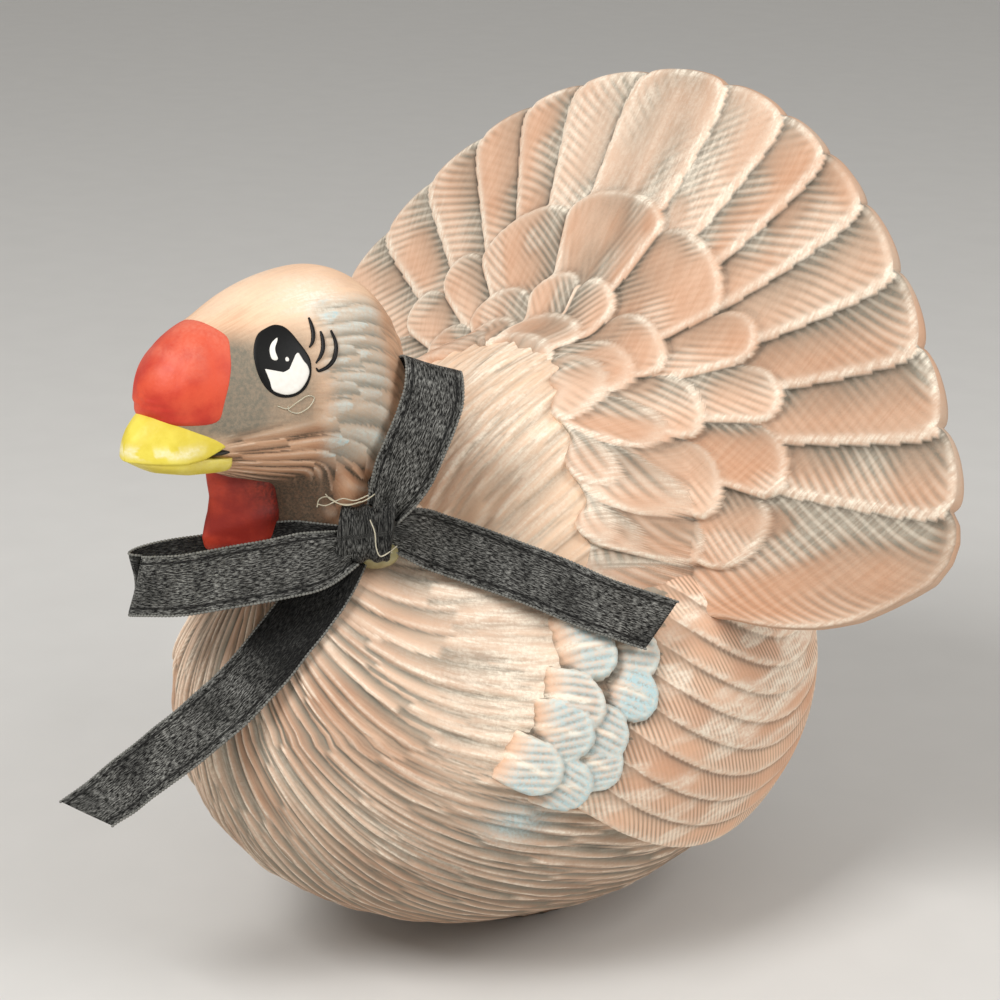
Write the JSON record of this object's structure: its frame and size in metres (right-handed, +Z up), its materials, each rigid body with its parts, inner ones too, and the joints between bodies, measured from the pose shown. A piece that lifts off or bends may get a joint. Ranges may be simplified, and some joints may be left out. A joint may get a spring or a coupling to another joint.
{
  "type": "turkey figurine",
  "caption": "Hand-painted bisque ceramic turkey figurine with an egg-shaped hollow body, folded wings and an upright feathered tail fan, and a tied satin ribbon bow glued at its neck.",
  "frame": {"origin": "on the standing surface, under the middle of the body, on the flat foot", "axes": "+Z up, the bird faces -Y, its left side is +X"},
  "size_m": [0.1654, 0.158, 0.152],
  "materials": {
    "stain": "matt terracotta stain, grey-brown wash in the grooves and cream dry-brush on the ridges",
    "flesh": "matt orange-red stain",
    "horn": "matt yellow stain",
    "satin": "black satin ribbon",
    "glue": "clear yellowish hot glue"
  },
  "bodies": {
    "root": {"body_shell": "stain", "back_cape": "stain", "tail_fan": "stain", "wing_left": "stain", "wing_right": "stain", "head": "stain", "snood": "flesh", "wattle": "flesh", "beak_upper": "horn", "beak_lower": "horn", "bow_knot": "satin", "bow_loop_left": "satin", "bow_loop_right": "satin", "bow_tail_left": "satin", "bow_tail_right": "satin", "glue_bead": "glue"}
  },
  "joints": []
}
